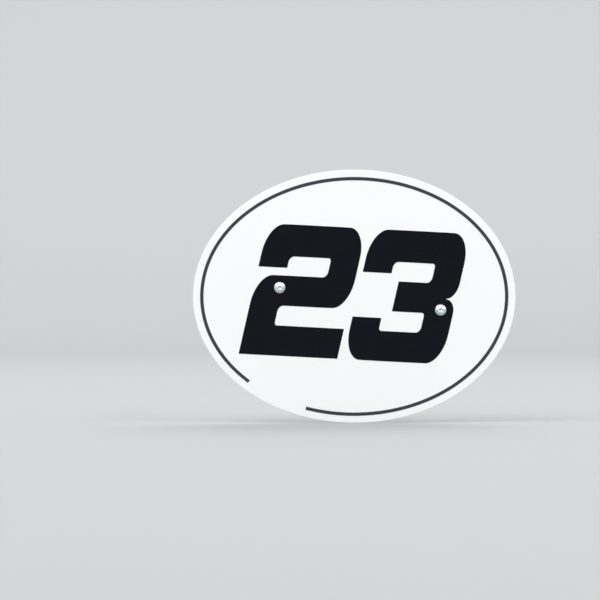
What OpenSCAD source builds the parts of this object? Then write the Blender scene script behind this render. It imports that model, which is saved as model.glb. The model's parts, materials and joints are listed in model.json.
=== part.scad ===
// Oval side number plate. A coated sheet carries a border stripe and two slanted numerals, each
// cut from coloured film. Two button-head screws go through it and are locked from behind, and
// their free ends are the studs that the plate is fixed by.
// X runs along the plate, Z is up and the face with the numerals looks towards -Y. The origin is
// midway between the studs, level with the lock nuts' rear faces, where the carrier bears.

/* [Plate] */
// Width of the oval, from left to right
plate_w = 270; // [240:1:320]
// Height of the oval
plate_h = 212; // [190:1:250]
// Thickness of the sheet
plate_t = 2; // [1.5:0.1:4]
// Radius that softens the sheet's cut edge
edge_r = 0.5; // [0.2:0.1:0.7]

/* [Border stripe] */
// Bare rim between the plate's edge and the stripe
stripe_inset = 6; // [3:0.5:14]
// Width of the stripe
stripe_w = 2.8; // [1.5:0.1:6]
// Where the stripe breaks off, in degrees round the oval from its right-hand end
stripe_stop = 226.3; // [200:0.1:240]
// Where the stripe goes on again, measured in the same way
stripe_go = 251.5; // [245:0.1:280]
// Thickness of the film that the stripe and the numerals are cut from
film_t = 0.15; // [0.1:0.01:0.4]

/* [Numerals] */
// Free field between the numerals and the stripe at either end
side_field = 41.2; // [36:0.1:55]
// Free field above the numerals, on the plate's centre line
top_field = 39.8; // [34:0.1:50]
// Free field below the numerals, on the plate's centre line
bottom_field = 44.3; // [38:0.1:55]
// Space between the two numerals
digit_gap = 4.8; // [2:0.1:12]
// Lean of the upright strokes
slant = 9.8; // [0:0.1:15]
// Fall of the line that the numerals stand on, towards the right
line_fall = 3; // [0:0.1:6]
// Width of the strokes on the left
left_stroke = 24.1; // [18:0.1:28]
// Width of the strokes on the right
right_stroke = 23.7; // [18:0.1:28]
// Height of the upper opening in each numeral
upper_gap = 16.3; // [12:0.1:22]
// Height of the lower opening in each numeral
lower_gap = 16.8; // [12:0.1:22]
// How much higher the top bar is than the other two bars
top_bar_extra = 1.4; // [0:0.1:6]
// Slit between the upper hook's end and the bar below it
upper_slit = 6.5; // [3:0.1:10]
// Slit between the lower hook's end and the bar above it
lower_slit = 6; // [3:0.1:10]
// How far the middle bar of the three starts in from its left side
middle_inset = 31.6; // [26:0.1:45]
// Outer corners, across
outer_across = 14; // [6:0.1:18]
// Outer corners, up
outer_up = 25; // [10:0.1:28]
// Wide inner corners, across
inner_across = 4; // [2:0.1:6]
// Wide inner corners, up
inner_up = 5; // [2:0.1:7]
// Tight inner corners, across
tight_across = 2.2; // [1:0.1:4]
// Tight inner corners, up
tight_up = 3; // [1:0.1:5]
// Depth of the notch in the right side of the three
notch_depth = 8.4; // [4:0.1:14]
// Rounding of the notch above its tip, up
notch_above = 14; // [8:0.1:18]
// Rounding of the notch below its tip, down
notch_below = 12; // [8:0.1:18]
// Height of the notch's blunt tip
notch_tip = 0.5; // [0.3:0.1:1]

/* [Screws] */
// Distance of the left screw from the oval's left end
left_margin = 72.6; // [60:0.1:80]
// Distance of the right screw from the oval's right end
right_margin = 62.7; // [58:0.1:70]
// Height of the left screw above the plate's centre
left_above = 7.4; // [2:0.1:12]
// Depth of the right screw below the plate's centre
right_below = 11.36; // [8:0.01:16]
// Outer diameter of the thread
screw_d = 5; // [4:0.1:6]
// Length of the screw under its head
screw_l = 20; // [14:1:30]
// Chamfer at the screw's end
screw_tip = 0.6; // [0.3:0.1:1]
// How far the middle of the thread's flanks lies inside its outer diameter
flank_in = 0.26; // [0.2:0.01:0.35]
// How far the head reaches past the thread all round
head_over = 2.25; // [1.8:0.05:3.5]
// Height of the head
head_h = 2.75; // [2.2:0.05:3.5]
// Height of the straight rim under the head's dome
head_rim = 0.6; // [0.3:0.1:1]
// Width across flats of the hexagon socket
socket_af = 3; // [2.5:0.5:4]
// Depth of the socket's flats
socket_depth = 1.6; // [1.2:0.1:1.8]
// Depth of the drilled point below the socket's flats
socket_point = 0.5; // [0.2:0.1:0.8]
// How much wider than the thread the holes in the sheet and film are
hole_play = 0.5; // [0.2:0.1:1]
// How far the left screw's socket is turned
left_turn = 12; // [0:1:59]
// How far the right screw's socket is turned
right_turn = 41; // [0:1:59]

/* [Washers and lock nuts] */
// How much wider than the thread the washer's hole is
washer_play = 0.3; // [0.2:0.1:0.6]
// Width of the washer's ring
washer_w = 2.35; // [1.8:0.05:5]
// Thickness of the washer
washer_t = 1; // [0.8:0.1:1.6]
// Wall of the lock nut between thread and flat
nut_wall = 1.5; // [1.3:0.05:2.5]
// Height of the lock nut, its collar included
nut_h = 5; // [4.5:0.1:7]
// Height of the lock nut's hexagon
nut_hex_h = 3.5; // [2.5:0.1:4]
// Bevel of the hexagon's corners, in from the flats
nut_bevel = 0.4; // [0.2:0.05:0.6]
// Radius of the rolled edge on the lock nut's collar
collar_r = 0.5; // [0.2:0.05:0.7]
// Wall of the lock nut's collar
collar_wall = 0.4; // [0.3:0.05:0.6]
// Thickness of the collar's rolled-in lip
lip_t = 0.3; // [0.2:0.05:0.5]
// How far the lip reaches in over the nylon ring
lip_in = 0.3; // [0.1:0.05:0.4]
// Width of the nylon ring outside the thread
nylon_w = 0.8; // [0.6:0.05:1.2]
// Gap between the screw and what it is threaded into
thread_play = 0.03; // [0.02:0.01:0.05]

/* [Hidden] */
$fn = 96;
// Steps in each rounded corner of an outline
arc_steps = 12;
// Steps in the plate's rounded edge
rim_steps = 4;
// Least straight stretch that a rounding leaves beside it
straight = 0.1;
// How far each cutting shape runs past what it cuts
cut = 1;

coat_white = "#fbfbfc";
stripe_grey = "#3a3b42";
numeral_black = "#14171e";
steel = "#c9cbcd";
zinc = "#b4b6b5";
nylon = "#e6e4dc";

// Depths, from the carrier at 0 towards the front
plate_back = -nut_h - washer_t;
plate_front = plate_back - plate_t;
film_front = plate_front - film_t;

// The screws' places and their middle, about the plate's centre
LEFT = [left_margin - plate_w / 2, left_above];
RIGHT = [plate_w / 2 - right_margin, -right_below];
middle = (LEFT + RIGHT) / 2;

edge = min(edge_r, plate_t / 2 - straight);
// A thread is drawn plain: at its outer diameter where it stands free, and at the middle of its
// flanks where a nut is on it
screw_r = screw_d / 2;
held_r = screw_r - flank_in;
thread_hole_r = held_r + thread_play;
held_l = -film_front;
head_r = screw_r + head_over;
dome_h = head_h - head_rim;
dome_r = (head_r * head_r + dome_h * dome_h) / (2 * dome_h);
nut_af = screw_d + 2 * nut_wall;
nut_corner_r = nut_af / 2 / cos(30);
nut_face_r = nut_af / 2 - nut_bevel;
nut_rise = (nut_corner_r - nut_face_r) * tan(30);
pocket_r = screw_r + nylon_w;
collar_out_r = pocket_r + collar_wall;
pocket_h = nut_h - lip_t - nut_hex_h;
collar_h = nut_h - nut_hex_h / 2;

// Half-lengths and half-heights of the stripe's middle line and of the field inside it
stripe_mid = stripe_inset + stripe_w / 2;
mid_x = plate_w / 2 - stripe_mid;
mid_z = plate_h / 2 - stripe_mid;
field_x = plate_w / 2 - stripe_inset - stripe_w;
field_z = plate_h / 2 - stripe_inset - stripe_w;

// Size of a numeral, and the levels of its bars from its foot
digit_w = field_x - side_field - digit_gap / 2;
digit_h = 2 * field_z - top_field - bottom_field;
digit_foot = bottom_field - field_z;
bar = (digit_h - lower_gap - upper_gap - top_bar_extra) / 3;
level_1 = bar;
level_2 = level_1 + lower_gap;
level_3 = level_2 + bar;
level_4 = level_3 + upper_gap;
upper_hook = level_3 + upper_slit;
lower_hook = level_2 - lower_slit;
stem = digit_w - right_stroke;
notch_level = (level_2 + level_3) / 2;
notch_x = digit_w - notch_depth;
notch_across = notch_depth - straight;

// Roundings, each with room left beside it
outer_z = min(outer_up, digit_h - upper_hook - straight, lower_hook - straight);
inner_z = min(inner_up, upper_gap / 2 - straight, lower_gap / 2 - straight);
tight_z = min(tight_up, upper_gap / 2 - straight, lower_gap / 2 - straight);
side_room = notch_level - notch_tip / 2 - outer_z - straight;
below_z = min(notch_below, side_room);
above_z = min(notch_above, side_room);

OUTER = [outer_across, outer_z];
INNER = [inner_across, inner_z];
TIGHT = [tight_across, tight_z];
SHARP = [0, 0];

// Corners of each numeral, before it leans: place from the foot's left end, then rounding
TWO = [
    [0, 0, SHARP], [digit_w, 0, SHARP], [digit_w, level_1, SHARP],
    [left_stroke, level_1, TIGHT], [left_stroke, level_2, INNER],
    [digit_w, level_2, OUTER], [digit_w, digit_h, OUTER], [0, digit_h, OUTER],
    [0, upper_hook, SHARP], [left_stroke, upper_hook, SHARP],
    [left_stroke, level_4, INNER], [stem, level_4, TIGHT], [stem, level_3, INNER],
    [0, level_3, OUTER]];
THREE = [
    [0, 0, OUTER], [digit_w, 0, OUTER],
    [digit_w, notch_level - notch_tip / 2, [notch_across, below_z]],
    [notch_x, notch_level - notch_tip / 2, SHARP],
    [notch_x, notch_level + notch_tip / 2, SHARP],
    [digit_w, notch_level + notch_tip / 2, [notch_across, above_z]],
    [digit_w, digit_h, OUTER], [0, digit_h, OUTER],
    [0, upper_hook, SHARP], [left_stroke, upper_hook, SHARP],
    [left_stroke, level_4, INNER], [stem, level_4, TIGHT], [stem, level_3, INNER],
    [middle_inset, level_3, SHARP], [middle_inset, level_2, SHARP],
    [stem, level_2, TIGHT], [stem, level_1, INNER], [left_stroke, level_1, TIGHT],
    [left_stroke, lower_hook, SHARP], [0, lower_hook, SHARP]];

// One corner of an outline: a quarter of an ellipse, or a single point where it is sharp.
// Its sides run level and upright, and flat_in says that the side before it is the level one.
function corner(path, k) =
    let (
        here = path[k],
        before = path[(k + len(path) - 1) % len(path)],
        after = path[(k + 1) % len(path)],
        flat_in = before[1] == here[1],
        across = here[2][0] * sign((flat_in ? before : after)[0] - here[0]),
        up = here[2][1] * sign((flat_in ? after : before)[1] - here[1])
    )
    here[2] == SHARP ? [[here[0], here[1]]] : [
        for (i = [0:arc_steps])
            let (turn = 90 * (flat_in ? i : arc_steps - i) / arc_steps)
            [here[0] + across * (1 - sin(turn)), here[1] + up * (1 - cos(turn))]
    ];

// A numeral's outline about the plate's centre, leaned over by the slant
function leaned(path, left) = [
    for (k = [0:len(path) - 1], p = corner(path, k))
        let (z = p[1] + digit_foot)
        [left + p[0] + tan(slant) * z, z]
];

// A point beside the stripe's middle line, at an angle round the oval
function beside_stripe(angle, out) =
    let (normal = [mid_z * cos(angle), mid_x * sin(angle)])
    [mid_x * cos(angle), mid_z * sin(angle)] + out * normal / norm(normal);

// Stands a shape up on the plate: its y becomes height, and its z runs forwards from the depth
module on_plate(depth) {
    translate([-middle[0], depth, -middle[1]]) rotate([90, 0, 0]) children();
}

// Puts a shape on a screw's axis, with its z forwards from the depth
module on_screw(at, depth) {
    translate([at[0] - middle[0], depth, at[1] - middle[1]]) rotate([90, 0, 0]) children();
}

// Puts a shape on a screw's axis, with its z backwards from the depth
module behind_plate(at, depth) {
    on_screw(at, depth) rotate([180, 0, 0]) children();
}

// A flat slab, for an oval or a section to be cut out of, so that its faces are true planes
module slab(t) {
    translate([-plate_w, -plate_h, 0]) cube([2 * plate_w, 2 * plate_h, t]);
}

module oval(l, h, t) {
    scale([1, h / l, 1]) cylinder(d = l, h = t);
}

module hexagon(af, h) {
    cylinder(d = af / cos(30), h = h, $fn = 6);
}

module screw_holes() {
    for (at = [LEFT, RIGHT])
        on_screw(at, plate_back + cut)
            cylinder(d = screw_d + hole_play, h = plate_t + film_t + 2 * cut);
}

module number_plate() {
    flat_r = plate_w / 2 - edge;
    rim = [for (i = [0:rim_steps]) edge * [sin(90 * i / rim_steps), 1 - cos(90 * i / rim_steps)]];
    color(coat_white) difference() {
        on_plate(plate_back) intersection() {
            slab(plate_t);
            scale([1, plate_h / plate_w, 1]) rotate_extrude() polygon([
                [0, -cut], [flat_r, -cut],
                for (p = rim) [flat_r + p[0], p[1]],
                for (i = [rim_steps:-1:0]) [flat_r + rim[i][0], plate_t - rim[i][1]],
                [flat_r, plate_t + cut], [0, plate_t + cut]
            ]);
        }
        screw_holes();
    }
}

module border_stripe() {
    reach = stripe_w;
    angles = [for (i = [0:arc_steps]) stripe_stop + (stripe_go - stripe_stop) * i / arc_steps];
    inner_l = 2 * field_x;
    inner_h = 2 * field_z;
    color(stripe_grey) on_plate(plate_front) difference() {
        intersection() {
            slab(film_t);
            translate([0, 0, -cut])
                oval(inner_l + 2 * stripe_w, inner_h + 2 * stripe_w, film_t + 2 * cut);
        }
        translate([0, 0, -cut]) oval(inner_l, inner_h, film_t + 2 * cut);
        translate([0, 0, -cut]) linear_extrude(film_t + 2 * cut) polygon([
            for (a = angles) beside_stripe(a, reach),
            for (i = [arc_steps:-1:0]) beside_stripe(angles[i], -reach)
        ]);
    }
}

module numeral(path, left) {
    color(numeral_black) difference() {
        on_plate(plate_front) rotate(-line_fall)
            linear_extrude(film_t) polygon(leaned(path, left));
        screw_holes();
    }
}

module digit_two() {
    numeral(TWO, -digit_gap / 2 - digit_w);
}

module digit_three() {
    numeral(THREE, digit_gap / 2);
}

// Button head with a hexagon socket, a held length, and a free end with a chamfer: the stud
module screw(at, turn) {
    color(steel) on_screw(at, film_front) rotate(turn) difference() {
        union() {
            intersection() {
                cylinder(r = head_r, h = head_h);
                translate([0, 0, head_h - dome_r]) sphere(dome_r);
            }
            translate([0, 0, -held_l - cut]) cylinder(r = held_r, h = held_l + cut);
            translate([0, 0, screw_tip - screw_l])
                cylinder(r = screw_r, h = screw_l - held_l - screw_tip);
            translate([0, 0, -screw_l])
                cylinder(r1 = screw_r - screw_tip, r2 = screw_r, h = screw_tip);
        }
        translate([0, 0, head_h - socket_depth]) hexagon(socket_af, socket_depth + cut);
        translate([0, 0, head_h - socket_depth - socket_point])
            cylinder(r1 = 0, r2 = socket_af / 2, h = socket_point);
    }
}

module washer(at) {
    color(steel) behind_plate(at, plate_back) difference() {
        cylinder(d = screw_d + washer_play + 2 * washer_w, h = washer_t);
        translate([0, 0, -cut]) cylinder(d = screw_d + washer_play, h = washer_t + 2 * cut);
    }
}

// Hexagon with bevelled corners, and a collar whose lip is rolled in over the nylon ring
module lock_nut(at, turn) {
    color(zinc) behind_plate(at, -nut_h) rotate(turn) difference() {
        union() {
            intersection() {
                hexagon(nut_af, nut_hex_h);
                rotate_extrude() polygon([
                    [0, 0], [nut_face_r, 0], [nut_corner_r, nut_rise],
                    [nut_corner_r, nut_hex_h - nut_rise], [nut_face_r, nut_hex_h], [0, nut_hex_h]
                ]);
            }
            translate([0, 0, nut_hex_h / 2]) cylinder(r = collar_out_r, h = collar_h - collar_r);
            translate([0, 0, nut_hex_h / 2]) rotate_extrude() {
                square([collar_out_r - collar_r, collar_h]);
                translate([collar_out_r - collar_r, collar_h - collar_r]) circle(collar_r);
            }
        }
        translate([0, 0, -cut]) cylinder(r = thread_hole_r, h = nut_h + 2 * cut);
        translate([0, 0, nut_hex_h]) cylinder(r = pocket_r, h = pocket_h);
        translate([0, 0, nut_hex_h]) cylinder(r = pocket_r - lip_in, h = nut_h + cut);
    }
}

module nylon_ring(at) {
    color(nylon) behind_plate(at, -nut_h + nut_hex_h) difference() {
        cylinder(r = pocket_r, h = pocket_h);
        translate([0, 0, -cut]) cylinder(r = thread_hole_r, h = pocket_h + 2 * cut);
    }
}

number_plate();
border_stripe();
digit_two();
digit_three();
screw(LEFT, left_turn);  // screw_left
screw(RIGHT, right_turn);  // screw_right
washer(LEFT);  // washer_left
washer(RIGHT);  // washer_right
lock_nut(LEFT, right_turn);  // lock_nut_left
lock_nut(RIGHT, left_turn);  // lock_nut_right
nylon_ring(LEFT);  // nylon_ring_left
nylon_ring(RIGHT);  // nylon_ring_right
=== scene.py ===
# %% [markdown]
# # An oval side number plate
# The real object is a flat oval of aluminium sheet with a glossy white powder coat. A border stripe
# and two slanted numerals are cut from vinyl film and stuck on it. Two button-head screws go through
# the plate. Each is held by a washer and a lock nut behind it, and its free end is a stud.
# This lesson dresses the exact model of that plate. First it opens the model, which is the frame
# that everything here is fitted to.

# %% Open the frame
import json
import math

import bpy
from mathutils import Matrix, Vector

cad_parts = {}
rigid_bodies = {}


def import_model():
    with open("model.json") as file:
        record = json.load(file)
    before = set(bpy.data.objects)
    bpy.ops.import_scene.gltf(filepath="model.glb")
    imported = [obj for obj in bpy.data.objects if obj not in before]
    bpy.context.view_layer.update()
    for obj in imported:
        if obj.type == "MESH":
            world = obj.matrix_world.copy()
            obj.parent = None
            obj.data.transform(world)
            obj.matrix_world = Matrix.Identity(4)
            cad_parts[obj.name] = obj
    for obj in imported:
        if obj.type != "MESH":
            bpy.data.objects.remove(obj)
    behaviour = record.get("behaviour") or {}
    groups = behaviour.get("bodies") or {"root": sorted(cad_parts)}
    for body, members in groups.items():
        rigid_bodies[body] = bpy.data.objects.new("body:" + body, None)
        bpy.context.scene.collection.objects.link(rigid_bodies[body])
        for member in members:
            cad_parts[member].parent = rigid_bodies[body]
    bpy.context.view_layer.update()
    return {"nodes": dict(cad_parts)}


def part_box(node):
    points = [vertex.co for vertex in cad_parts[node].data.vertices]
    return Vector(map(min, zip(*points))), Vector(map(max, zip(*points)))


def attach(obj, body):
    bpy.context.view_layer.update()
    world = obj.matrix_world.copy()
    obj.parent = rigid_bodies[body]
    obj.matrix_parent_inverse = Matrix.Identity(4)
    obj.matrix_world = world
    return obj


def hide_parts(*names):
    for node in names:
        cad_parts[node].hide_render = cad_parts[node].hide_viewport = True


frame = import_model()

MM = 0.001

# %% [markdown]
# ## Where things are
# The frame is in metres, with X to the right, Z up and the printed face towards -Y. Reading the
# places from the frame's own boxes, not typing them in, keeps every piece where the solids are.
# Sizes of the real pieces are named values in millimetres from here on, and MM turns them to metres.

# %% Read the places
plate_low, plate_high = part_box("number_plate")
PLATE_MIDDLE = (plate_low + plate_high) / 2
PLATE_HALF = (plate_high - plate_low) / 2
SCREW_AT = {}
for side in ("left", "right"):
    low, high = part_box("screw_" + side)
    SCREW_AT[side] = (low + high) / 2
    print("the", side, "screw stands at", [round(v / MM, 2) for v in SCREW_AT[side]], "mm")
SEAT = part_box("digit_two")[0].y
PLATE_BACK = plate_high.y
STUD_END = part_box("screw_left")[1].y

# %% [markdown]
# ## The camera
# The photograph looks straight at the plate from far off, so its lines stay parallel. A long lens
# a few metres away gives that. The plate isn't in the middle of the picture: the camera looks at a
# point to its left and just under its centre, without any lens shift.

# %% Set up the camera
VIEW_WIDTH = 502.1 * MM
VIEW_FROM = 2.5
LOOK_LEFT = 45.4 * MM
LOOK_DOWN = 3.0 * MM
SENSOR = 36
bpy.ops.object.select_all(action="DESELECT")
bpy.ops.object.camera_add(
    location=(PLATE_MIDDLE.x - LOOK_LEFT, plate_low.y - VIEW_FROM, PLATE_MIDDLE.z - LOOK_DOWN),
    rotation=(math.radians(90), 0, 0),
)
camera = bpy.context.object
camera.name = "camera"
camera.data.sensor_width = SENSOR
camera.data.lens = SENSOR * VIEW_FROM / VIEW_WIDTH
bpy.context.scene.camera = camera
print("the lens is", round(camera.data.lens, 1), "mm long")

# %% [markdown]
# ## Colours and nodes
# Colours are written as sRGB hex codes, as a paint chart gives them, and turned to linear light
# once. Every node is added by one small function that sets its values and links, so a finish reads
# as a short list. All patterns use the place on the object, so their scales are real sizes.

# %% Turn a colour to linear light
def colour(code):
    """The linear colour of an sRGB hex code."""
    parts = [int(code[i : i + 2], 16) / 255 for i in (1, 3, 5)]
    return [p / 12.92 if p <= 0.04045 else ((p + 0.055) / 1.055) ** 2.4 for p in parts] + [1]


print("a half-way grey is", round(colour("#808080")[0], 3), "in linear light")

# %% Start a material and add its nodes
def add(material, kind, inputs, **settings):
    """One node with its settings. An input is a value, or the output of another node."""
    node = material.node_tree.nodes.new(kind)
    for name, value in settings.items():
        setattr(node, name, value)
    for name, value in inputs.items():
        if isinstance(value, bpy.types.NodeSocket):
            material.node_tree.links.new(value, node.inputs[name])
        else:
            node.inputs[name].default_value = value
    return node


def new_material(name):
    """A material with its shader, and the place on the object in metres."""
    material = bpy.data.materials.new(name)
    material.use_nodes = True
    material.node_tree.nodes.clear()
    shader = add(material, "ShaderNodeBsdfPrincipled", {})
    add(material, "ShaderNodeOutputMaterial", {"Surface": shader.outputs["BSDF"]})
    place = add(material, "ShaderNodeTexCoord", {}).outputs["Object"]
    return material, shader, place


# %% [markdown]
# ## Powder coat
# Polyester powder is sprayed on dry and baked. It flows together into a thick, glossy, hard skin
# that never lies quite flat: a soft waviness of a few millimetres, called orange peel, bends its
# reflections. The gloss also varies a little where hands have wiped it.

# %% Powder coat
PEEL = 2.4
FINE_PEEL = 0.7
WIPES = 45
powder_coat, shader, place = new_material("glossy white powder coat")
shader.inputs["Base Color"].default_value = colour("#f3f3f4")
shader.inputs["IOR"].default_value = 1.5
peel = add(powder_coat, "ShaderNodeTexNoise", {"Vector": place, "Scale": 1 / (PEEL * MM), "Detail": 2})
fine = add(powder_coat, "ShaderNodeTexNoise", {"Vector": place, "Scale": 1 / (FINE_PEEL * MM), "Detail": 1})
coarse_bump = add(powder_coat, "ShaderNodeBump",
                  {"Height": peel.outputs["Fac"], "Strength": 0.08, "Distance": 0.05 * MM})
bump = add(powder_coat, "ShaderNodeBump",
           {"Height": fine.outputs["Fac"], "Strength": 0.04, "Distance": 0.02 * MM,
            "Normal": coarse_bump.outputs["Normal"]})
wiped = add(powder_coat, "ShaderNodeTexNoise", {"Vector": place, "Scale": 1 / (WIPES * MM), "Detail": 4})
gloss = add(powder_coat, "ShaderNodeMapRange",
            {"Value": wiped.outputs["Fac"], "From Min": 0.3, "From Max": 0.7, "To Min": 0.16, "To Max": 0.24})
powder_coat.node_tree.links.new(gloss.outputs["Result"], shader.inputs["Roughness"])
powder_coat.node_tree.links.new(bump.outputs["Normal"], shader.inputs["Normal"])
print("made", powder_coat.name)

# %% [markdown]
# ## Vinyl film
# The stripe and the numerals are plotter-cut from cast vinyl, 0.15 mm thick with its glue. It is
# coloured right through and has a semi-gloss face with a very fine grain from its casting sheet.
# It lies on the coat's orange peel and shows a little of it. Its sheen is weak and slightly blue.
# The real grain is finer than a picture shows, so it is drawn at a quarter of a millimetre.

# %% Vinyl film
GRAIN = 0.25
RUBS = 30


def vinyl(name, code):
    """Cast vinyl film of one colour."""
    material, shader, place = new_material(name)
    shader.inputs["Base Color"].default_value = colour(code)
    shader.inputs["IOR"].default_value = 1.42
    shader.inputs["Specular IOR Level"].default_value = 0.25
    shader.inputs["Specular Tint"].default_value = colour("#dde1f8")
    under = add(material, "ShaderNodeTexNoise", {"Vector": place, "Scale": 1 / (PEEL * MM), "Detail": 2})
    grain = add(material, "ShaderNodeTexNoise", {"Vector": place, "Scale": 1 / (GRAIN * MM), "Detail": 2})
    waves = add(material, "ShaderNodeBump",
                {"Height": under.outputs["Fac"], "Strength": 0.08, "Distance": 0.04 * MM})
    face = add(material, "ShaderNodeBump",
               {"Height": grain.outputs["Fac"], "Strength": 0.12, "Distance": 0.006 * MM,
                "Normal": waves.outputs["Normal"]})
    rubbed = add(material, "ShaderNodeTexNoise", {"Vector": place, "Scale": 1 / (RUBS * MM), "Detail": 5})
    gloss = add(material, "ShaderNodeMapRange",
                {"Value": rubbed.outputs["Fac"], "From Min": 0.3, "From Max": 0.7,
                 "To Min": 0.26, "To Max": 0.34})
    material.node_tree.links.new(gloss.outputs["Result"], shader.inputs["Roughness"])
    material.node_tree.links.new(face.outputs["Normal"], shader.inputs["Normal"])
    print("made", name)
    return material


black_film = vinyl("black cast vinyl film", "#06090f")
grey_film = vinyl("dark grey cast vinyl film", "#3b3d43")

# %% [markdown]
# ## Bright stainless steel
# The screws are cold formed and the washers are punched from rolled sheet, both of bright
# stainless steel. Tumbling takes the mirror off it: the shine is soft and a little patchy, over
# very fine dents, and slightly blue.

# %% Stainless steel
TUMBLE = 0.9
stainless, shader, place = new_material("bright stainless steel")
shader.inputs["Base Color"].default_value = colour("#dce4e9")
shader.inputs["Metallic"].default_value = 1
tumbled = add(stainless, "ShaderNodeTexNoise", {"Vector": place, "Scale": 1 / (TUMBLE * MM), "Detail": 4})
dents = add(stainless, "ShaderNodeBump",
            {"Height": tumbled.outputs["Fac"], "Strength": 0.06, "Distance": 0.02 * MM})
shine = add(stainless, "ShaderNodeMapRange",
            {"Value": tumbled.outputs["Fac"], "From Min": 0.3, "From Max": 0.7,
             "To Min": 0.36, "To Max": 0.5})
stainless.node_tree.links.new(shine.outputs["Result"], shader.inputs["Roughness"])
stainless.node_tree.links.new(dents.outputs["Normal"], shader.inputs["Normal"])
print("made", stainless.name)

# %% [markdown]
# ## Zinc plating
# The lock nuts are steel with a bright zinc plating. It is a little darker than the stainless
# steel, and cloudy where the passivation took unevenly.

# %% Zinc plating
CLOUDS = 1.8
zinc, shader, place = new_material("bright zinc plating")
cloud = add(zinc, "ShaderNodeTexNoise", {"Vector": place, "Scale": 1 / (CLOUDS * MM), "Detail": 5})
tint = add(zinc, "ShaderNodeMix",
           {"Factor": cloud.outputs["Fac"], "A": colour("#b9bec4"), "B": colour("#cfcfca")},
           data_type="RGBA")
dull = add(zinc, "ShaderNodeMapRange",
           {"Value": cloud.outputs["Fac"], "From Min": 0.3, "From Max": 0.7, "To Min": 0.28, "To Max": 0.45})
shader.inputs["Metallic"].default_value = 1
zinc.node_tree.links.new(tint.outputs["Result"], shader.inputs["Base Color"])
zinc.node_tree.links.new(dull.outputs["Result"], shader.inputs["Roughness"])
print("made", zinc.name)

# %% [markdown]
# ## Nylon
# The lock nut's ring is natural nylon, moulded plain: milky, slightly waxy, and light passes a
# little way into it.

# %% Nylon
MILK = 0.8
DEEP = 0.4
nylon, shader, place = new_material("natural moulded nylon")
milk = add(nylon, "ShaderNodeTexNoise", {"Vector": place, "Scale": 1 / (MILK * MM), "Detail": 3})
tint = add(nylon, "ShaderNodeMix",
           {"Factor": milk.outputs["Fac"], "A": colour("#e4e1d6"), "B": colour("#f0eee6")},
           data_type="RGBA")
nylon.node_tree.links.new(tint.outputs["Result"], shader.inputs["Base Color"])
shader.inputs["Roughness"].default_value = 0.42
shader.inputs["IOR"].default_value = 1.53
shader.inputs["Subsurface Weight"].default_value = 0.3
shader.inputs["Subsurface Scale"].default_value = DEEP * MM
print("made", nylon.name)

# %% [markdown]
# ## Handing a piece over
# Every new piece rides on the part's one body, takes one of the finishes above and stands for a solid of the
# frame, which is then hidden.

# %% Hand a piece over
def hand_over(piece, node, material):
    """Gives a finished piece its material and body, and hides the solid it stands for."""
    piece.data.materials.clear()
    piece.data.materials.append(material)
    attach(piece, "root")
    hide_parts(node)
    print(piece.name, "is of", material.name)


# %% [markdown]
# ## Working by hand, in code
# Modelling in Blender is the same few moves again and again: select something, then extrude it,
# bevel it or cut it. An operator acts on all that is selected, and the frame arrives with every
# solid selected, so each move starts from a clean selection. These helpers do the selecting. Two
# more cut one piece with another and shade a finished piece.

# %% Select
def only(piece):
    """Leaves edit mode and selects this piece alone, or nothing."""
    if bpy.context.object and bpy.context.object.mode != "OBJECT":
        bpy.ops.object.mode_set(mode="OBJECT")
    bpy.ops.object.select_all(action="DESELECT")
    if piece:
        piece.select_set(True)
        bpy.context.view_layer.objects.active = piece


def pick(piece, kind, wanted):
    """Goes into edit mode with those faces or edges selected that are wanted."""
    only(piece)
    bpy.ops.object.mode_set(mode="EDIT")
    bpy.ops.mesh.select_mode(type=kind)
    bpy.ops.mesh.select_all(action="DESELECT")
    bpy.ops.object.mode_set(mode="OBJECT")
    for item in piece.data.polygons if kind == "FACE" else piece.data.edges:
        item.select = wanted(item)
    bpy.ops.object.mode_set(mode="EDIT")


def at_depth(piece, edge, y):
    """True for an edge with both ends at that depth along Y."""
    return all(abs(piece.data.vertices[i].co.y - y) < 0.01 * MM for i in edge.vertices)


only(None)
print(len(bpy.context.selected_objects), "objects are selected now")

# %% Cut and shade
def combine(piece, tool, operation, keep=False):
    """Cuts, joins or intersects a piece with another one."""
    only(piece)
    bpy.ops.object.modifier_add(type="BOOLEAN")
    boolean = piece.modifiers[-1]
    boolean.operation = operation
    boolean.solver = "EXACT"
    boolean.object = tool
    bpy.ops.object.modifier_apply(modifier=boolean.name)
    if not keep:
        bpy.data.objects.remove(tool)


def smooth(piece, angle=32):
    """Shades a piece smooth, apart from its sharper edges."""
    only(piece)
    bpy.ops.object.shade_smooth_by_angle(angle=math.radians(angle))
    print(piece.name, "has", len(piece.data.polygons), "faces")


# %% [markdown]
# ## The oval sheet
# The sheet is laser cut from 2 mm aluminium, its edge is rounded off, and then it is coated.
# A filled circle, stretched to an oval and extruded, gives the sheet. Bevelling both rims gives
# the soft edge that catches the light, and an inset just inside it keeps the flat faces flat
# where the shading turns smooth. The two screw holes are cut last.

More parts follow.
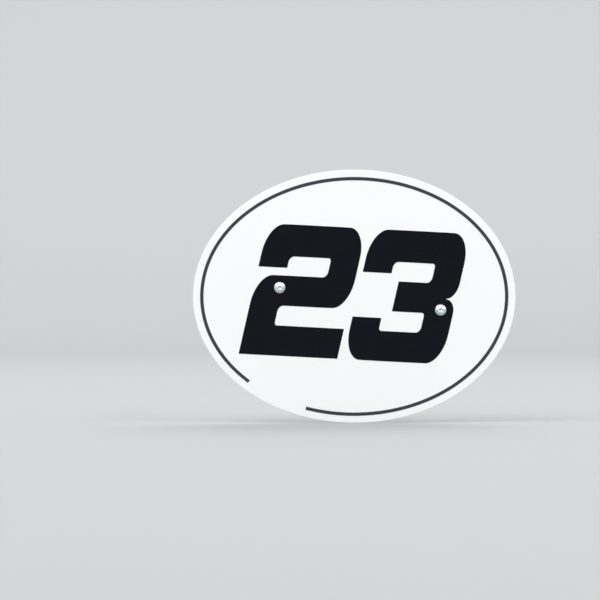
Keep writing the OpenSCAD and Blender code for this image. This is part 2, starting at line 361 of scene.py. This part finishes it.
# %% Cut and round the sheet
EDGE = 0.5
FLAT_FROM = 0.6
only(None)
bpy.ops.mesh.primitive_circle_add(vertices=288, radius=1, fill_type="NGON", rotation=(math.radians(90), 0, 0))
sheet = bpy.context.object
sheet.name = "oval_sheet"
bpy.ops.object.transform_apply(location=True, rotation=True, scale=True)
bpy.ops.object.mode_set(mode="EDIT")
bpy.ops.mesh.select_all(action="SELECT")
bpy.ops.transform.resize(value=(PLATE_HALF.x, 1, PLATE_HALF.z))
bpy.ops.transform.translate(value=(PLATE_MIDDLE.x, PLATE_BACK, PLATE_MIDDLE.z))
bpy.ops.mesh.extrude_region_move(TRANSFORM_OT_translate={"value": (0, -2 * PLATE_HALF.y, 0)})
bpy.ops.mesh.select_all(action="SELECT")
bpy.ops.mesh.normals_make_consistent(inside=False)
pick(sheet, "EDGE", lambda edge: at_depth(sheet, edge, plate_low.y) or at_depth(sheet, edge, PLATE_BACK))
bpy.ops.mesh.bevel(offset=EDGE * MM, offset_type="OFFSET", segments=6, profile=0.5, affect="EDGES")
pick(sheet, "FACE", lambda face: abs(face.normal.y) > 0.99 and len(face.vertices) > 9)
bpy.ops.mesh.inset(thickness=FLAT_FROM * MM, depth=0)
only(sheet)
print("the sheet is", [round(v / MM, 1) for v in sheet.dimensions], "mm")

# %% Drill the sheet
HOLE_R = 2.75
DRILL = 10
for side, at in SCREW_AT.items():
    only(None)
    bpy.ops.mesh.primitive_cylinder_add(
        vertices=64, radius=HOLE_R * MM, depth=DRILL * MM,
        location=(at.x, PLATE_MIDDLE.y, at.z), rotation=(math.radians(90), 0, 0))
    combine(sheet, bpy.context.object, "DIFFERENCE")
smooth(sheet)
hand_over(sheet, "number_plate", powder_coat)

# %% [markdown]
# ## The films
# The exact solids of the stripe and the numerals have the right outlines, down to the elliptical
# corners and the notch of the three, but their rounded corners come as short straight steps. A
# plotter's knife runs round without steps. So a copy of each solid keeps only its wall. Its sharp
# corners are creased, a Subdivision Surface rounds the steps between them, and the wall is then
# closed again at the front and at the back.

# %% Keep a film's wall
SHARP = 30


def copied(piece, name):
    """A copy with its own mesh."""
    only(piece)
    bpy.ops.object.duplicate()
    bpy.context.object.name = name
    return bpy.context.object


def film_wall(node, name):
    """A copy of a film's solid, with its sharp corners creased, open at the front and the back.

    It leaves the solid's parent and the solid's marks behind, and its loose triangles are merged.
    """
    piece = copied(frame["nodes"][node], name)
    bpy.ops.object.parent_clear(type="CLEAR")
    for mark in list(piece.keys()):
        del piece[mark]
    bpy.ops.object.mode_set(mode="EDIT")
    bpy.ops.mesh.select_all(action="SELECT")
    bpy.ops.mesh.remove_doubles(threshold=0.0005 * MM)
    pick(piece, "FACE", lambda face: abs(face.normal.y) > 0.9)
    bpy.ops.mesh.delete(type="FACE")
    bpy.ops.mesh.select_all(action="SELECT")
    bpy.ops.mesh.tris_convert_to_quads()
    bpy.ops.mesh.select_mode(type="EDGE")
    bpy.ops.mesh.select_all(action="DESELECT")
    bpy.ops.mesh.edges_select_sharp(sharpness=math.radians(SHARP))
    bpy.ops.transform.edge_crease(value=1)
    only(piece)
    print("the wall of", name, "starts with", len(piece.data.polygons), "steps")
    return piece


# %% Round and close the films
ROUNDINGS = 2
FLAT = 2


def recut(node, name):
    """A film's wall with its steps rounded off, closed at the front and the back."""
    piece = film_wall(node, name)
    bpy.ops.object.modifier_add(type="SUBSURF")
    rounding = piece.modifiers[-1]
    rounding.levels = rounding.render_levels = ROUNDINGS
    bpy.ops.object.modifier_apply(modifier=rounding.name)
    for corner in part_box(node):
        pick(piece, "EDGE", lambda edge: at_depth(piece, edge, corner.y))
        bpy.ops.mesh.fill(use_beauty=True)
        bpy.ops.mesh.dissolve_limited(angle_limit=math.radians(FLAT))
    bpy.ops.mesh.select_all(action="SELECT")
    bpy.ops.mesh.normals_make_consistent(inside=False)
    smooth(piece)
    return piece


for node, name, slot, film in (
        ("border_stripe", "oval_stripe", "grey_film", grey_film),
        ("digit_two", "film_two", "black_film", black_film),
        ("digit_three", "film_three", "black_film", black_film)):
    hand_over(recut(node, name), node, film)

# %% [markdown]
# ## The lathe
# Screws, washers and nuts are round, and so are most tools that shape them. Each is an outline of
# a few points beside the Y axis, spun round that axis. An outline is drawn by pulling one point
# from place to place.

# %% Draw, spin and place
def draw_line(name, points):
    """A bent line: a small plane is merged to one point, which is then pulled from place to place."""
    only(None)
    bpy.ops.mesh.primitive_plane_add(size=MM)
    piece = bpy.context.object
    piece.name = name
    bpy.ops.object.mode_set(mode="EDIT")
    bpy.ops.mesh.select_mode(type="VERT")
    bpy.ops.mesh.merge(type="CENTER")
    places = [Vector((r, y, 0)) * MM for r, y in points]
    bpy.ops.transform.translate(value=places[0])
    for here, there in zip(places, places[1:]):
        bpy.ops.mesh.extrude_region_move(TRANSFORM_OT_translate={"value": there - here})
    return piece


def placed(piece, at, angle=0):
    """Turns a piece round Y by an angle in degrees, moves it, and keeps its place in its mesh."""
    only(piece)
    piece.rotation_euler = (0, math.radians(angle), 0)
    piece.location = at
    bpy.ops.object.transform_apply(location=True, rotation=True, scale=True)


def turn(name, outline, steps=96, start=0):
    """A shape turned on a lathe: an outline of (radius, y) points in millimetres, spun round Y.

    The start angle in degrees keeps its edges off the edges of a piece that it is combined with.
    """
    piece = draw_line(name, outline)
    bpy.ops.mesh.select_all(action="SELECT")
    bpy.ops.mesh.spin(steps=steps, angle=2 * math.pi, center=(0, 0, 0), axis=(0, 1, 0))
    bpy.ops.mesh.select_all(action="SELECT")
    bpy.ops.mesh.remove_doubles(threshold=0.0005 * MM)
    bpy.ops.mesh.normals_make_consistent(inside=False)
    placed(piece, (0, 0, 0), start)
    return piece


# %% [markdown]
# ## The thread
# A metric M5 thread climbs 0.8 mm in each turn. Its flanks meet at 60 degrees, its crests are
# flat and narrow, and its roots a little wider. The Screw modifier winds one tooth's outline up
# the shank. The wound skin is closed at both ends by a fan to the axis, and a plain pin with a
# chamfered end then trims it to length, so the thread runs out as a real one does. The shank
# reaches a little into the head, so that the two can be joined.
#
# A Boolean cuts cleanly only where no edge or face of one piece lies right on one of the other.
# So the thread starts at an odd place and each turned tool at an odd angle, and tools go past
# what they cut.

# %% Wind a thread
PITCH = 0.8
THREAD_R = 2.49
THREAD_DEPTH = 0.49
CREST = 0.1
FLANK = 0.283
THREAD_START = -1.609
SPARE_WINDINGS = 4
SHANK = (STUD_END - SEAT) / MM
WINDINGS = int(SHANK / PITCH) + SPARE_WINDINGS


def wound_thread(name, grow=0):
    """A long closed M5 thread along Y, thicker by grow all round."""
    crest, root = THREAD_R + grow, THREAD_R - THREAD_DEPTH + grow
    tooth = [(root, 0), (crest, FLANK), (crest, FLANK + CREST), (root, 2 * FLANK + CREST), (root, PITCH)]
    piece = draw_line(name, tooth)
    only(piece)
    bpy.ops.object.modifier_add(type="SCREW")
    winding = piece.modifiers[-1]
    winding.axis = "Y"
    winding.screw_offset = PITCH * MM
    winding.iterations = WINDINGS
    winding.steps = winding.render_steps = 48
    bpy.ops.object.modifier_apply(modifier=winding.name)
    bpy.ops.object.mode_set(mode="EDIT")
    bpy.ops.mesh.select_all(action="SELECT")
    bpy.ops.mesh.remove_doubles(threshold=0.0005 * MM)
    length = (WINDINGS + 1) * PITCH * MM
    for near_start in (True, False):
        bpy.ops.mesh.select_mode(type="EDGE")
        bpy.ops.mesh.select_all(action="DESELECT")
        bpy.ops.mesh.select_non_manifold(extend=False)
        bpy.ops.object.mode_set(mode="OBJECT")
        for edge in piece.data.edges:
            start, end = (piece.data.vertices[i].co.y for i in edge.vertices)
            edge.select = edge.select and ((start + end) / 2 < length / 2) == near_start
        bpy.ops.object.mode_set(mode="EDIT")
        bpy.ops.mesh.edge_face_add()
        bpy.ops.mesh.poke()
    bpy.ops.mesh.select_all(action="SELECT")
    bpy.ops.mesh.normals_make_consistent(inside=False)
    placed(piece, (0, THREAD_START * MM, 0))
    return piece


shank = wound_thread("shank")
print("the thread makes", WINDINGS, "turns")

# %% Trim the thread to a shank
ROOTED = 0.4
TRIM_R = 2.6
END_R = 1.9
END_H = 0.7
trim = turn("trim", [(0, -ROOTED), (TRIM_R, -ROOTED), (TRIM_R, SHANK - END_H), (END_R, SHANK), (0, SHANK)],
            start=1.3)
combine(shank, trim, "INTERSECT")
print("the shank is", round(shank.dimensions.y / MM, 2), "mm long and has", len(shank.data.polygons), "faces")

# %% [markdown]
# ## The button head
# The head is pressed to a low dome with a short straight rim. Its outline is turned on the lathe
# and joined to the shank. The hexagon socket is punched in: a six-sided prism cuts it, a shallow
# cone breaks its mouth, and a second cone leaves the punch's point at the bottom.

# %% Turn the head
HEAD_R = 4.75
HEAD_H = 2.75
HEAD_RIM = 0.6
RIM_FRONT_R = 0.12
RIM_FRONT_Y = -0.52
RIM_BACK_R = 0.15


def arc(middle, radius, start, end, steps):
    """Points of an arc for an outline, from one angle to another in degrees."""
    turns = [math.radians(start + (end - start) * i / steps) for i in range(steps + 1)]
    return [(middle[0] + radius * math.cos(t), middle[1] + radius * math.sin(t)) for t in turns]


dome_h = HEAD_H - HEAD_RIM
dome_r = (HEAD_R**2 + dome_h**2) / (2 * dome_h)
dome_edge = math.degrees(math.asin(HEAD_R / dome_r))
dome = arc((0, dome_r - HEAD_H), dome_r, -90, dome_edge - 90, 20)
screw = turn("screw", dome[:-1] + arc((HEAD_R - RIM_FRONT_R, RIM_FRONT_Y), RIM_FRONT_R, -35, 0, 3)
             + arc((HEAD_R - RIM_BACK_R, -RIM_BACK_R), RIM_BACK_R, 0, 90, 4) + [(0, 0)], start=1.3)
combine(screw, shank, "UNION")
print("the screw is", round(screw.dimensions.y / MM, 2), "mm long with its head")

# %% Punch the socket
SOCKET_FLATS = 3
SOCKET_DEPTH = 1.6
SOCKET_POINT = 0.5
PUNCH_L = 4
MOUTH = [(0, -4), (3.45, -4), (1.95, -2.52), (1.35, -2.2), (0, -2.2)]
POINT_R = 1.4
POINT_FROM = -1.3
POINT_STEP = 0.02
socket_floor = SOCKET_DEPTH - HEAD_H
only(None)
bpy.ops.mesh.primitive_cylinder_add(
    vertices=6, radius=SOCKET_FLATS / 2 / math.cos(math.pi / 6) * MM, depth=PUNCH_L * MM,
    rotation=(math.radians(90), math.radians(90), 0),
    location=(0, (socket_floor - PUNCH_L / 2) * MM, 0))
punch = bpy.context.object
mouth = turn("mouth", MOUTH, start=2.6)
point = turn("point", [(0, POINT_FROM), (POINT_R, POINT_FROM), (POINT_R, socket_floor + POINT_STEP),
                       (0, socket_floor + SOCKET_POINT)], start=0.7)
for tool in (punch, mouth, point):
    combine(screw, tool, "DIFFERENCE")
print("the socket is", SOCKET_FLATS, "mm across its flats and", SOCKET_DEPTH, "mm deep")

# %% Set both screws
SOCKET_TURN = {"left": 12, "right": 41}
for side, at in SCREW_AT.items():
    piece = copied(screw, side + "_screw")
    placed(piece, (at.x, SEAT, at.z), -SOCKET_TURN[side])
    smooth(piece, angle=40)
    hand_over(piece, "screw_" + side, stainless)

# %% [markdown]
# ## Washers
# A plain washer is punched from sheet. The punch drags the upper rim round and leaves the lower
# one sharp, so its outline has large roundings above and small ones below.

# %% Turn the washers
WASHER_R = 5
WASHER_HOLE_R = 2.65
WASHER_T = 1
DRAGGED_R = 0.22
SHARP_R = 0.06
washer_outline = (
    arc((WASHER_R - SHARP_R, SHARP_R), SHARP_R, -90, 0, 3)
    + arc((WASHER_R - DRAGGED_R, WASHER_T - DRAGGED_R), DRAGGED_R, 0, 90, 5)
    + arc((WASHER_HOLE_R + DRAGGED_R, WASHER_T - DRAGGED_R), DRAGGED_R, 90, 180, 5)
    + arc((WASHER_HOLE_R + SHARP_R, SHARP_R), SHARP_R, 180, 270, 3))
washer = turn("washer", washer_outline + washer_outline[:1])
for side, at in SCREW_AT.items():
    piece = copied(washer, side + "_washer")
    placed(piece, (at.x, PLATE_BACK, at.z))
    smooth(piece)
    hand_over(piece, "washer_" + side, stainless)

# %% [markdown]
# ## Lock nuts
# A lock nut is a hexagon with turned corners and a collar. The collar's rim is rolled in over a
# nylon ring that grips the thread. A six-sided prism is intersected with a turned double cone,
# joined to the turned collar, and hollowed. The double cone goes a little past the hexagon all
# round, for a clean cut. A slightly thicker thread then cuts the nut and the ring, as the tap and
# the screw do, so the nut's own thread is there too.

# %% Shape the hexagon
NUT_FLATS = 8
NUT_HEX_H = 3.5
NUT_FACE_R = 3.6
PAST = 1
nut_corner = NUT_FLATS / 2 / math.cos(math.pi / 6)
slope = math.tan(math.radians(30))
rise = (nut_corner - NUT_FACE_R) * slope
only(None)
bpy.ops.mesh.primitive_cylinder_add(
    vertices=6, radius=nut_corner * MM, depth=NUT_HEX_H * MM,
    rotation=(math.radians(90), math.radians(90), 0), location=(0, NUT_HEX_H / 2 * MM, 0))
nut = bpy.context.object
nut.name = "nut"
bpy.ops.object.transform_apply(location=True, rotation=True, scale=True)
low_cone = [(0, -PAST * slope), (NUT_FACE_R - PAST, -PAST * slope), (nut_corner + PAST, rise + PAST * slope)]
cone = turn("cone", low_cone + [(r, NUT_HEX_H - y) for r, y in reversed(low_cone)], start=1.3)
combine(nut, cone, "INTERSECT")
print("the hexagon has", len(nut.data.polygons), "faces")

# %% Add the collar and hollow the nut
NUT_H = 5
COLLAR_R = 3.7
COLLAR_FROM = 1
COLLAR_ROUND = 0.5
BORE_R = 2.2
POCKET_R = 3.3
LIP_T = 0.3
LIP_R = 3.0
collar = turn("collar", [(0, COLLAR_FROM), (COLLAR_R, COLLAR_FROM)]
              + arc((COLLAR_R - COLLAR_ROUND, NUT_H - COLLAR_ROUND), COLLAR_ROUND, 0, 90, 8) + [(0, NUT_H)],
              start=2.6)
combine(nut, collar, "UNION")
bore = turn("bore", [(0, -PAST), (BORE_R, -PAST), (BORE_R, NUT_HEX_H), (POCKET_R, NUT_HEX_H),
                     (POCKET_R, NUT_H - LIP_T), (LIP_R, NUT_H - LIP_T), (LIP_R, NUT_H + PAST),
                     (0, NUT_H + PAST)], start=0.7)
combine(nut, bore, "DIFFERENCE")
print("the nut is", round(nut.dimensions.y / MM, 2), "mm high")

# %% Turn the nylon ring
RING_MOUTH_R = 2.75
RING_MOUTH_H = 0.2
ring = turn("ring", [(BORE_R, NUT_HEX_H), (POCKET_R, NUT_HEX_H), (POCKET_R, NUT_H - LIP_T),
                     (RING_MOUTH_R, NUT_H - LIP_T), (BORE_R, NUT_H - LIP_T - RING_MOUTH_H),
                     (BORE_R, NUT_HEX_H)], start=0.7)
print("the ring is", round(ring.dimensions.y / MM, 2), "mm high")

# %% Set the nuts and tap them
NUT_TURN = {"left": 41, "right": 12}
TAP_GROWS = 0.02
nut_back = PLATE_BACK + WASHER_T * MM
for side, at in SCREW_AT.items():
    tap = wound_thread("tap", grow=TAP_GROWS)
    placed(tap, (at.x, SEAT, at.z), -SOCKET_TURN[side])
    for shape, node, slot, material in (
            (nut, "lock_nut_", "zinc_plating", zinc), (ring, "nylon_ring_", "nylon", nylon)):
        piece = copied(shape, side + "_" + shape.name)
        placed(piece, (at.x, nut_back, at.z), NUT_TURN[side])
        combine(piece, tap, "DIFFERENCE", keep=True)
        smooth(piece)
        hand_over(piece, node + side, material)
    bpy.data.objects.remove(tap)
for shape in (screw, washer, nut, ring):
    bpy.data.objects.remove(shape)

# %% [markdown]
# ## The studio
# The plate stands on its lower edge on a pale matt floor. The floor curves up into a low wall all
# round, so that no horizon shows from any side. The outline of that dish is turned round Z.

# %% Turn the floor
FLOOR_R = 3200
FLOOR_RINGS = 6
SWEEP_R = 1300
WALL_H = 1800
dish = turn("floor", [(0, 0)] + [(FLOOR_R * i / FLOOR_RINGS, 0) for i in range(1, FLOOR_RINGS)]
            + arc((FLOOR_R, SWEEP_R), SWEEP_R, -90, 0, 24) + [(FLOOR_R + SWEEP_R, WALL_H)], steps=128)
dish.rotation_euler = (math.radians(90), 0, 0)
dish.location = (PLATE_MIDDLE.x, PLATE_MIDDLE.y, plate_low.z)
bpy.ops.object.transform_apply(location=True, rotation=True, scale=True)
bpy.ops.object.shade_smooth()
paper, shader, place = new_material("matt background paper")
shader.inputs["Base Color"].default_value = colour("#b0b1b2")
shader.inputs["Roughness"].default_value = 0.9
shader.inputs["Specular IOR Level"].default_value = 0.2
dish.data.materials.append(paper)
print("the floor is", round(dish.dimensions.x, 1), "m across")

# %% [markdown]
# ## The light
# The photograph is lit evenly and softly: the white is the same all over and nothing throws a
# hard shadow. Very wide soft lights stand far off to both sides and behind, clear of the mirror
# direction, so the black film stays black. A pale sky fills the rest. A sun lamp with a wide
# angle is such a light, and as it is equally strong everywhere, floor and wall keep one tone.

# %% Hang the lights
world = bpy.data.worlds.new("studio")
bpy.context.scene.world = world
world.use_nodes = True
sky = world.node_tree.nodes["Background"]
sky.inputs["Color"].default_value = colour("#ffffff")
sky.inputs["Strength"].default_value = 0.9
SOFT_LIGHTS = (
    ("key", (-0.65, -0.75, 0.7), 60, 1.84),
    ("fill", (0.85, -0.65, 0.45), 60, 1.68),
    ("rear", (0.3, 0.9, 0.7), 60, 1.3),
)
for name, at, width, strength in SOFT_LIGHTS:
    bpy.ops.object.light_add(
        type="SUN", location=at, rotation=Vector(at).to_track_quat("Z", "Y").to_euler())
    lamp = bpy.context.object
    lamp.name = name
    lamp.data.angle = math.radians(width)
    lamp.data.energy = strength
    print("the", name, "light is", width, "degrees wide")

# %% [markdown]
# ## Finish
# The colours are shown as they are, with no film look.

# %% Finish
bpy.context.scene.view_settings.view_transform = "Standard"
only(None)
